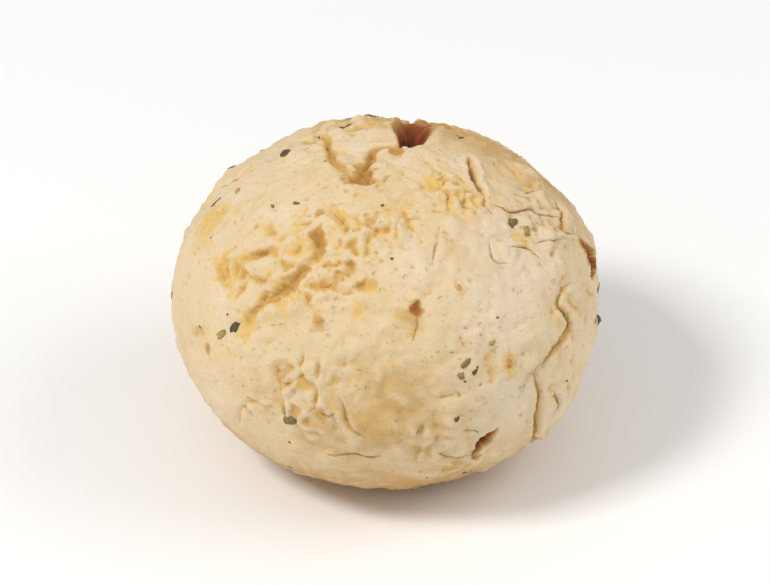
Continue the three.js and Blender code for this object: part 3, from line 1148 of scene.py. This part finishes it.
@dataclass(frozen=True)
class CrustFinish:
    """Baked cheese dough: matt, slightly waxy, cream where pale, and ochre to dark brown in its cracks, with
    browning and painted shade together.
    """

    cream: Colour = linear(227, 203, 162)
    blush: Colour = linear(231, 211, 181)
    tan: Colour = linear(205, 166, 108)
    cheese: Colour = linear(228, 189, 110)
    # ochre, rust, brown and dark follow the toast stain: browning, and painted shade in cracks, pits and
    # hollows.
    ochre: Colour = linear(198, 152, 82)
    rust: Colour = linear(172, 110, 56)
    brown: Colour = linear(138, 68, 24)
    dark: Colour = linear(108, 48, 12)
    # crease is painted shadow: the dark colour drawn along hairline splits too fine for the mesh.
    crease: Colour = linear(140, 106, 68)
    roughness: float = 0.66
    waxy: float = 0.34
    glow: float = 0.12
    glow_depth: float = 0.0011
    fine_grain: float = 0.38
    tooth_depth: float = 0.00018

    def make(self, grain: bpy.types.NodeTree) -> bpy.types.Material:
        """Builds the material.

        Args:
            grain: The crumb grain node group.

        Returns:
            The crust's material, which reads the tint attributes of its mesh.
        """
        material, bench = blank_material("baked_crust")
        coarse = bench.add("ShaderNodeGroup", values={"Size": 1.0}, node_tree=grain)
        fine = bench.add("ShaderNodeGroup", values={"Size": self.fine_grain, "Shift": 7.0}, node_tree=grain)
        tints = {
            tint: bench.add("ShaderNodeAttribute", attribute_name=tint.value).outputs["Fac"]
            for tint in Tint
        }
        stir = bench.sum("SUBTRACT", coarse.outputs["Fleck"], 0.5)
        fine_stir = bench.sum("SUBTRACT", fine.outputs["Fleck"], 0.5)
        stir_both = bench.sum("ADD", bench.sum("MULTIPLY", stir, 0.5), bench.sum("MULTIPLY", fine_stir, 0.5))

        def stirred(tint: Tint, amount: float) -> Socket:
            """Gives a tint with its edge broken up by the grain."""
            return bench.sum("ADD", tints[tint], bench.sum("MULTIPLY", stir_both, amount))

        colour = bench.mix(bench.ramp(stirred(Tint.BLUSH, 0.5), 0.15, 0.9), self.cream, self.blush)
        colour = bench.mix(bench.ramp(coarse.outputs["Blotch"], 0.5, 0.68, 0.0, 0.35), colour, self.blush)
        colour = bench.mix(bench.ramp(stirred(Tint.TAN, 0.5), 0.1, 1.0), colour, self.tan)
        colour = bench.mix(bench.ramp(stirred(Tint.CHEESE, 0.8), 0.12, 0.8, 0.0, 0.9), colour, self.cheese)
        toast_and_shade = stirred(Tint.TOAST_AND_SHADE, 0.22)
        # The toast stain, which is browning and painted shade, ramps through ochre, rust, brown and dark.
        colour = bench.mix(bench.ramp(toast_and_shade, 0.06, 0.4), colour, self.ochre)
        colour = bench.mix(bench.ramp(toast_and_shade, 0.36, 0.6), colour, self.rust)
        colour = bench.mix(bench.ramp(toast_and_shade, 0.56, 0.85), colour, self.brown)
        colour = bench.mix(bench.ramp(toast_and_shade, 0.84, 1.0), colour, self.dark)
        # Painted shade: the grain's pin pores are tinted ochre.
        colour = bench.mix(bench.ramp(fine.outputs["Pores"], 0.0, 1.0, 0.0, 0.2), colour, self.ochre)
        split = self._hairline(bench, fine_stir)
        # Painted shadow along the hairline splits.
        colour = bench.mix(bench.sum("MULTIPLY", split, 0.56), colour, self.crease)
        rough = bench.ramp(fine.outputs["Height"], 0.3, 0.7, self.roughness - 0.06, self.roughness + 0.1)
        fine_tooth = bench.sum("MULTIPLY", fine.outputs["Height"], 0.45)
        tooth = bench.sum("ADD", coarse.outputs["Height"], fine_tooth)
        height = bench.sum("SUBTRACT", tooth, bench.sum("MULTIPLY", split, 0.9))
        bump = bench.add(
            "ShaderNodeBump",
            values={"Strength": 0.75, "Distance": self.tooth_depth},
            wires={"Height": height},
        )
        shader = bench.add(
            "ShaderNodeBsdfPrincipled",
            values={
                "Specular IOR Level": self.waxy,
                "Subsurface Weight": self.glow,
                "Subsurface Radius": (1.0, 0.55, 0.28),
                "Subsurface Scale": self.glow_depth,
            },
            wires={"Base Color": colour, "Roughness": rough, "Normal": bump.outputs[0]},
        )
        bench.add("ShaderNodeOutputMaterial", wires={0: shader.outputs[0]})
        return material

    def _hairline(self, bench: NodeBench, stir: Socket) -> Socket:
        """Draws the splits that are too fine for the mesh, as a painted shadow line and a groove in the
        bump.

        Args:
            bench: The material's bench.
            stir: A small grain about zero, which makes the splits waver.

        Returns:
            A mask that is 1 along the middle of each split.
        """
        rift = bench.add("ShaderNodeAttribute", attribute_name="rift").outputs["Fac"]
        width = bench.add("ShaderNodeAttribute", attribute_name="rift_width").outputs["Fac"]
        wavering = bench.sum("ADD", rift, bench.sum("MULTIPLY", stir, 0.34))
        distance = bench.sum("ABSOLUTE", wavering, 0.0)
        across = bench.sum("DIVIDE", distance, bench.sum("MAXIMUM", width, 0.001))
        return bench.ramp(across, 1.25, 0.35)


@dataclass(frozen=True)
class BitFinish:
    """A dry bit pressed into the crust, whose colour runs between two ends from bit to bit."""

    name: str
    first: Colour
    second: Colour
    roughness: float = 0.75
    grain_size: float = 0.5
    tooth_depth: float = 0.00012

    def make(self, grain: bpy.types.NodeTree) -> bpy.types.Material:
        """Builds the material.

        Args:
            grain: The crumb grain node group.

        Returns:
            The bits' material, which reads their shade attribute.
        """
        material, bench = blank_material(self.name)
        tooth = bench.add("ShaderNodeGroup", values={"Size": self.grain_size, "Shift": 3.0}, node_tree=grain)
        shade = bench.add("ShaderNodeAttribute", attribute_name="shade").outputs["Fac"]
        stir = bench.sum("MULTIPLY", bench.sum("SUBTRACT", tooth.outputs["Fleck"], 0.5), 1.2)
        colour = bench.mix(bench.ramp(bench.sum("ADD", shade, stir), 0.0, 1.0), self.first, self.second)
        rough = bench.ramp(tooth.outputs["Height"], 0.3, 0.7, self.roughness - 0.1, self.roughness + 0.1)
        bump = bench.add(
            "ShaderNodeBump",
            values={"Strength": 0.6, "Distance": self.tooth_depth},
            wires={"Height": tooth.outputs["Height"]},
        )
        shader = bench.add(
            "ShaderNodeBsdfPrincipled",
            values={"Specular IOR Level": 0.3},
            wires={"Base Color": colour, "Roughness": rough, "Normal": bump.outputs[0]},
        )
        bench.add("ShaderNodeOutputMaterial", wires={0: shader.outputs[0]})
        return material


# ---- The crust -----------------------------------------------------------------------------------


@dataclass
class BallCrust:
    """The whole ball's crust, as one closed skin down to its flat foot."""

    low: Points
    high: Points
    cuts: int = 124
    lean: tuple[float, float, float] = (0.0, -0.06, 0.16)
    dough: Dough = field(init=False)

    def __post_init__(self) -> None:
        """Works out the plain body from the box."""
        self.dough = Dough.in_box(self.low, self.high)

    def build(self) -> bpy.types.Object:
        """Builds the crust.

        Returns:
            The crust's object, with its tints as attributes.
        """
        mesh = self._round_net()
        directions = self._even_directions(mesh)
        for crack in ALL_CRACKS:
            crack.gather(self.dough, directions)
        relief = Relief(self.dough, directions)
        patches = (*SWELLS, *BLOOMS, *TORN_PATCHES, *WRINKLE_PATCHES)
        for feature in (SKIN, *patches, *PITS, *ALL_CRACKS, BLISTERS, PORES):
            feature.press(relief)
        edges = np.empty(2 * len(mesh.edges), dtype=np.int64)
        mesh.edges.foreach_get("vertices", edges)
        relief.stain_and_shade_hollows(edges.reshape(-1, 2))
        self._write(mesh, relief)
        return as_object(mesh)

    def _round_net(self) -> bpy.types.Mesh:
        """Cuts a cube's faces into a fine net of quads."""
        net = bmesh.new()
        bmesh.ops.create_cube(net, size=2.0)
        bmesh.ops.subdivide_edges(net, edges=net.edges, cuts=self.cuts, use_grid_fill=True)
        bmesh.ops.recalc_face_normals(net, faces=net.faces)
        mesh = bpy.data.meshes.new("ball_crust")
        net.to_mesh(mesh)
        net.free()
        return mesh

    def _even_directions(self, mesh: bpy.types.Mesh) -> Points:
        """Rounds the cube's net off, with about even quads that are closer together towards the lean.

        Args:
            mesh: The cut cube.

        Returns:
            A unit vector for each vertex.
        """
        flat = np.empty(3 * len(mesh.vertices))
        mesh.vertices.foreach_get("co", flat)
        return unit(unit(np.tan(flat.reshape(-1, 3) * math.pi / 4)) + np.array(self.lean))

    def _write(self, mesh: bpy.types.Mesh, relief: Relief) -> None:
        """Moves the net's vertices to the finished surface, filling the frame's box, and writes the tints.

        Args:
            mesh: The net.
            relief: The finished relief.
        """
        points = relief.shaped()
        low, high = points.min(axis=0), points.max(axis=0)
        points = self.low + (points - low) * (self.high - self.low) / (high - low)
        mesh.vertices.foreach_set("co", (points * MILLIMETRE).ravel())
        for tint, values in relief.tints.items():
            mesh.attributes.new(tint.value, "FLOAT", "POINT").data.foreach_set("value", values)
        mesh.attributes.new("rift", "FLOAT", "POINT").data.foreach_set("value", relief.rift)
        mesh.attributes.new("rift_width", "FLOAT", "POINT").data.foreach_set("value", relief.rift_width)
        mesh.update()


class CrustSurface:
    """Finds spots on the finished crust, for what is pressed into it."""

    def __init__(self, crust: bpy.types.Object, middle: Vector) -> None:
        """Indexes the crust.

        Args:
            crust: The finished crust.
            middle: The middle of its widest level, in metres.
        """
        vertices = [vertex.co for vertex in crust.data.vertices]
        faces = [tuple(polygon.vertices) for polygon in crust.data.polygons]
        self.tree = BVHTree.FromPolygons(vertices, faces)
        self.middle = middle

    def seat(self, place: Place, turn: float) -> Matrix:
        """Gives the frame of a bit that lies on the crust.

        Args:
            place: Where it lies.
            turn: How far it is turned about the crust's normal, in degrees.

        Returns:
            A matrix whose Z axis points out of the crust and whose place is the spot on it, in metres.
        """
        aim = Vector(direction_of(place))
        spot, normal, _, _ = self.tree.ray_cast(self.middle, aim)
        outward = (normal.normalized() + 0.6 * aim).normalized()
        upright = outward.to_track_quat("Z", "Y").to_matrix().to_4x4()
        return Matrix.Translation(spot) @ upright @ Matrix.Rotation(math.radians(turn), 4, "Z")

    def drape(self, seat: Matrix, across: Vector, lift: float) -> Vector:
        """Lays a point down on the crust beside a seat.

        Args:
            seat: The seat's frame, in metres.
            across: The point's place in that frame, in millimetres.
            lift: How far above the crust it stays, in millimetres.

        Returns:
            The point, in metres.
        """
        outward = seat.to_3x3() @ Vector((0.0, 0.0, 1.0))
        above = seat @ ((across + Vector((0.0, 0.0, 2.0))) * MILLIMETRE)
        spot = self.tree.ray_cast(above, -outward)[0]
        return spot + outward * lift * MILLIMETRE


# ---- What is pressed into the crust --------------------------------------------------------------


@dataclass(frozen=True)
class Bit:
    """One bit: where it lies, its size in millimetres, its turn in degrees, and its shade from 0 to 1."""

    at: Place
    length: float
    width: float
    turn: float = 0.0
    shade: float = 0.5


FRONT_OF_BALL = (((0, 35), 62.0), ((160, 50), 14.0))
MIDDLE_OF_FRONT = (((0, 35), 30.0),)


def scattered(
    count: int,
    seed: int,
    length: tuple[float, float],
    slim: tuple[float, float],
    keep_off: tuple[tuple[Place, float], ...] = FRONT_OF_BALL,
) -> tuple[Bit, ...]:
    """Scatters bits evenly at random over the ball, away from the places that are settled one by one.

    Args:
        count: How many.
        seed: Seeds the draw.
        length: Shortest and longest, in millimetres.
        slim: Narrowest and widest, as shares of the length.
        keep_off: Places to stay off, each with an angle in degrees.

    Returns:
        The bits.
    """
    draw = np.random.default_rng(seed)
    bits = []
    while len(bits) < count:
        place = (float(draw.uniform(-180, 180)), math.degrees(math.asin(float(draw.uniform(-0.75, 0.98)))))
        aim = direction_of(place)
        if any(aim @ direction_of(middle) > math.cos(math.radians(reach)) for middle, reach in keep_off):
            continue
        long_way = float(draw.uniform(*length))
        short_way = long_way * float(draw.uniform(*slim))
        turn = float(draw.uniform(0, 360))
        bits.append(Bit(place, long_way, short_way, turn, shade=float(draw.random())))
    return tuple(bits)


DARK_FLAKES = (
    Bit((-112, 54), 2.1, 1.3, 20, 0.3),
    Bit((-123, 26), 1.6, 1.0, 80, 0.5),
    Bit((-47, 17), 1.7, 1.1, 65, 0.1),
    Bit((-26, -3), 1.9, 1.2, 20, 0.7),
    Bit((19, 0), 0.9, 0.7, 0, 0.2),
    Bit((-154, 58), 1.0, 0.7, 10, 0.4),
    Bit((-162, 57), 0.9, 0.6, 60, 0.3),
    Bit((25, 12), 0.9, 0.6, 30, 0.2),
)

GREEN_FLAKES = (
    Bit((69, 43), 1.9, 1.3, 15, 0.15),
    Bit((70, 38), 1.3, 1.0, 50, 0.7),
    Bit((23, 15), 1.5, 0.9, 20, 0.3),
    Bit((21, 12), 1.1, 0.8, 110, 0.4),
    Bit((32, 18), 1.2, 0.7, 0, 0.8),
    Bit((-51, 13), 1.6, 0.8, 60, 0.6),
    Bit((-28, -1), 1.1, 0.7, 90, 0.8),
    Bit((9, -2), 1.3, 0.6, 50, 0.7),
    Bit((-68, 50), 0.8, 0.4, 0, 0.4),
    Bit((-59, 56), 0.8, 0.5, 40, 0.3),
    Bit((61, 13), 1.1, 0.5, 80, 0.8),
)

TOASTED_BITS = (
    Bit((-55, 7), 1.1, 0.8, 60, 0.5),
    Bit((-21, 27), 1.1, 0.9, 10, 0.6),
    Bit((36, 11), 1.5, 0.8, 90, 0.7),
    Bit((10, 32), 0.9, 0.8, 0, 0.0),
    Bit((27, 35), 1.1, 0.8, 90, 0.9),
    Bit((26, -18), 0.9, 0.5, 30, 0.3),
    Bit((-22, 37), 1.1, 0.8, 30, 0.8),
)

PEPPER_SPECKS = (
    Bit((-2, 66), 0.5, 0.4, 0, 0.3),
    Bit((3, 47), 0.55, 0.4, 0, 0.4),
    Bit((26, 13), 0.45, 0.4, 0, 0.1),
    Bit((22, 10), 0.4, 0.35, 0, 0.2),
    Bit((-27, -12), 0.5, 0.35, 0, 0.4),
    Bit((-51, 19), 0.45, 0.3, 0, 0.4),
    Bit((36, 24), 0.5, 0.4, 0, 0.8),
    Bit((-140, 54), 0.6, 0.4, 0, 0.3),
    Bit((84, -3), 1.7, 1.9, 30, 0.0),
)


@dataclass
class HerbFlakes:
    """Dried leaf flakes: thin, torn at the edge, and draped over the crust."""

    name: str
    bits: tuple[Bit, ...]
    seed: int
    thickness: float = 0.16
    corners: int = 11

    def build(self, surface: CrustSurface) -> bpy.types.Object:
        """Builds the flakes as one piece.

        Args:
            surface: The crust that they lie on.

        Returns:
            The flakes' object.
        """
        draw = np.random.default_rng(self.seed)
        pile = bmesh.new()
        shade = pile.verts.layers.float.new("shade")
        for bit in self.bits:
            self._add_flake(pile, shade, bit, surface, draw)
        bmesh.ops.recalc_face_normals(pile, faces=pile.faces)
        return finished(pile, self.name)

    def _add_flake(
        self,
        pile: bmesh.types.BMesh,
        shade: bmesh.types.BMLayerItem,
        bit: Bit,
        surface: CrustSurface,
        draw: np.random.Generator,
    ) -> None:
        """Adds one flake, draped over the crust.

        Args:
            pile: The bmesh that holds all flakes.
            shade: Its layer for shades.
            bit: The flake's place and size.
            surface: The crust that it lies on.
            draw: Gives its torn edge and its curl.
        """
        seat = surface.seat(bit.at, bit.turn)
        disc = bmesh.ops.create_circle(pile, cap_ends=True, segments=self.corners, radius=0.5)["verts"]
        middle = bmesh.ops.poke(pile, faces=[disc[0].link_faces[0]])["verts"][0]
        for vert in (middle, *disc):
            tear = 1.0 + float(draw.uniform(-0.36, 0.24))
            across = Vector((vert.co.x * bit.length * tear, vert.co.y * bit.width * tear, 0.0))
            curl = self.thickness * (1.0 if vert is middle else float(draw.uniform(0.3, 1.0)))
            vert.co = surface.drape(seat, across, curl)
        flake = list({face for vert in disc for face in vert.link_faces})
        made = bmesh.ops.extrude_face_region(pile, geom=flake)["geom"]
        under = [element for element in made if isinstance(element, bmesh.types.BMVert)]
        sink = seat.to_3x3() @ Vector((0.0, 0.0, -self.thickness * MILLIMETRE))
        bmesh.ops.translate(pile, vec=sink, verts=under)
        for vert in (middle, *disc, *under):
            vert[shade] = bit.shade


@dataclass
class CrustBits:
    """Small rounded bits, such as toasted cheese or pepper, sunk part way into the crust."""

    name: str
    bits: tuple[Bit, ...]
    seed: int
    height: float = 0.6
    sunk: float = 0.25
    rough: float = 0.22
    fineness: int = 2

    def build(self, surface: CrustSurface) -> bpy.types.Object:
        """Builds the bits as one piece.

        Args:
            surface: The crust that they lie in.

        Returns:
            The bits' object.
        """
        draw = np.random.default_rng(self.seed)
        pile = bmesh.new()
        shade = pile.verts.layers.float.new("shade")
        for bit in self.bits:
            verts = bmesh.ops.create_icosphere(pile, subdivisions=self.fineness, radius=0.5)["verts"]
            shift = Vector(draw.uniform(-50, 50, 3))
            for vert in verts:
                vert.co *= 1.0 + self.rough * noise.noise(3.2 * vert.co + shift)
                vert[shade] = bit.shade
            thick = self.height * bit.width
            shape = Matrix.Diagonal((bit.length, bit.width, thick, 1.0))
            sink = Matrix.Translation((0.0, 0.0, -self.sunk * thick))
            seat = surface.seat(bit.at, bit.turn) @ Matrix.Scale(MILLIMETRE, 4)
            bmesh.ops.transform(pile, matrix=seat @ sink @ shape, verts=verts)
        bmesh.ops.recalc_face_normals(pile, faces=pile.faces)
        return finished(pile, self.name)


def finished(pile: bmesh.types.BMesh, name: str) -> bpy.types.Object:
    """Turns a bmesh into a smooth object at the origin.

    Args:
        pile: The bmesh, which is freed.
        name: The object's name.

    Returns:
        The object, linked to the scene.
    """
    mesh = bpy.data.meshes.new(name)
    pile.to_mesh(mesh)
    pile.free()
    return as_object(mesh)


def as_object(mesh: bpy.types.Mesh) -> bpy.types.Object:
    """Makes a mesh an object of its own name, with smooth faces, and links it to the scene."""
    mesh.polygons.foreach_set("use_smooth", np.ones(len(mesh.polygons), dtype=bool))
    piece = bpy.data.objects.new(mesh.name, mesh)
    bpy.context.scene.collection.objects.link(piece)
    return piece


def dress(piece: bpy.types.Object, material: bpy.types.Material) -> None:
    """Gives a piece its material and its body, and reports it.

    Args:
        piece: The finished piece.
        material: Its material.
    """
    piece.data.materials.append(material)
    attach(piece, "root")
    LOG.info("%s: %d faces", piece.name, len(piece.data.polygons))


PRESSED_IN = (
    (
        HerbFlakes("dark_herb_flakes", DARK_FLAKES + scattered(22, 31, (0.8, 2.2), (0.4, 0.7)), seed=1),
        BitFinish("dark_herb", linear(88, 74, 50), linear(142, 124, 86)),
    ),
    (
        HerbFlakes("green_herb_flakes", GREEN_FLAKES + scattered(24, 32, (0.8, 2.0), (0.4, 0.7)), seed=2),
        BitFinish("green_herb", linear(120, 104, 64), linear(182, 160, 92)),
    ),
    (
        CrustBits("toasted_bits", TOASTED_BITS + scattered(20, 33, (0.7, 1.6), (0.5, 0.9)), seed=3),
        BitFinish("toasted_cheese", linear(150, 94, 48), linear(212, 164, 100)),
    ),
    (
        CrustBits(
            "pepper_specks",
            PEPPER_SPECKS + scattered(16, 34, (0.3, 0.55), (0.6, 0.9), MIDDLE_OF_FRONT),
            seed=4, height=0.8, sunk=0.2,
        ),
        BitFinish("pepper", linear(92, 72, 48), linear(150, 126, 88), grain_size=0.25),
    ),
)


# ---- Studio --------------------------------------------------------------------------------------


@dataclass
class Studio:
    """A plain pale floor, soft light from the upper left, and a long lens that looks down on the ball."""

    target: Vector
    rise: float = 35.0
    lens: float = 200.0
    distance: float = 0.54
    floor_size: float = 1.6

    def build(self) -> None:
        """Sets the floor, the lights, the sky and the camera."""
        self._floor()
        self._sky()
        self._lamp("key_light", (-0.44, -0.24, 0.62), size=0.2, power=3.6, colour=(1.0, 0.98, 0.95))
        self._lamp("fill_light", (0.56, -0.02, 0.50), size=0.5, power=1.9, colour=(1.0, 0.98, 0.96))
        self._camera()
        bpy.context.scene.view_settings.view_transform = "Standard"
        bpy.context.scene.view_settings.look = "None"

    def _floor(self) -> None:
        """Lays the floor."""
        pile = bmesh.new()
        bmesh.ops.create_grid(pile, x_segments=1, y_segments=1, size=0.5 * self.floor_size)
        floor = finished(pile, "floor")
        floor.data.materials.append(self._floor_finish())

    def _floor_finish(self) -> bpy.types.Material:
        """Makes the floor's plain near-white finish."""
        material = bpy.data.materials.new("pale_floor")
        material.use_nodes = True
        shader = material.node_tree.nodes["Principled BSDF"]
        shader.inputs["Base Color"].default_value = (0.94, 0.94, 0.94, 1.0)
        shader.inputs["Roughness"].default_value = 0.9
        shader.inputs["Specular IOR Level"].default_value = 0.1
        return material

    def _sky(self) -> None:
        """Surrounds the scene with even white light."""
        world = bpy.data.worlds.new("studio_sky")
        world.use_nodes = True
        background = world.node_tree.nodes["Background"]
        background.inputs["Color"].default_value = (1.0, 1.0, 1.0, 1.0)
        background.inputs["Strength"].default_value = 0.46
        bpy.context.scene.world = world

    def _lamp(
        self, name: str, place: tuple[float, float, float], size: float, power: float, colour: Colour
    ) -> None:
        """Hangs a square soft light that faces the ball.

        Args:
            name: The light's name.
            place: Where it hangs, in metres.
            size: Its side, in metres.
            power: Its power, in watts.
            colour: Its colour.
        """
        light = bpy.data.lights.new(name, "AREA")
        light.size = size
        light.energy = power
        light.color = colour
        lamp = bpy.data.objects.new(name, light)
        lamp.location = place
        lamp.rotation_euler = (self.target - lamp.location).to_track_quat("-Z", "Y").to_euler()
        bpy.context.scene.collection.objects.link(lamp)

    def _camera(self) -> None:
        """Sets the camera in front of the ball, looking down."""
        data = bpy.data.cameras.new("camera")
        data.lens = self.lens
        camera = bpy.data.objects.new("camera", data)
        rise = math.radians(self.rise)
        camera.location = self.target + self.distance * Vector((0.0, -math.cos(rise), math.sin(rise)))
        camera.rotation_euler = (self.target - camera.location).to_track_quat("-Z", "Y").to_euler()
        bpy.context.scene.collection.objects.link(camera)
        bpy.context.scene.camera = camera


# ---- Putting it together -------------------------------------------------------------------------


def main() -> None:
    """Builds the ball, what is pressed into it, and the studio."""
    logging.basicConfig(level=logging.INFO, format="%(name)s %(message)s")
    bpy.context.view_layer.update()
    low, high = (np.array(corner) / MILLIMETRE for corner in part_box(NODE))

    grain = crumb_grain_group()
    ball = BallCrust(low, high)
    crust = ball.build()
    dress(crust, CrustFinish().make(grain))
    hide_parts(NODE)

    middle = Vector((0.0, 0.0, (low[2] + ball.dough.foot_drop) * MILLIMETRE))
    surface = CrustSurface(crust, middle)

    for pieces, finish in PRESSED_IN:
        dress(pieces.build(surface), finish.make(grain))

    Studio(target=Vector((0.0, 0.0, 0.5 * (low[2] + high[2]) * MILLIMETRE))).build()


if __name__ == "__main__":
    main()
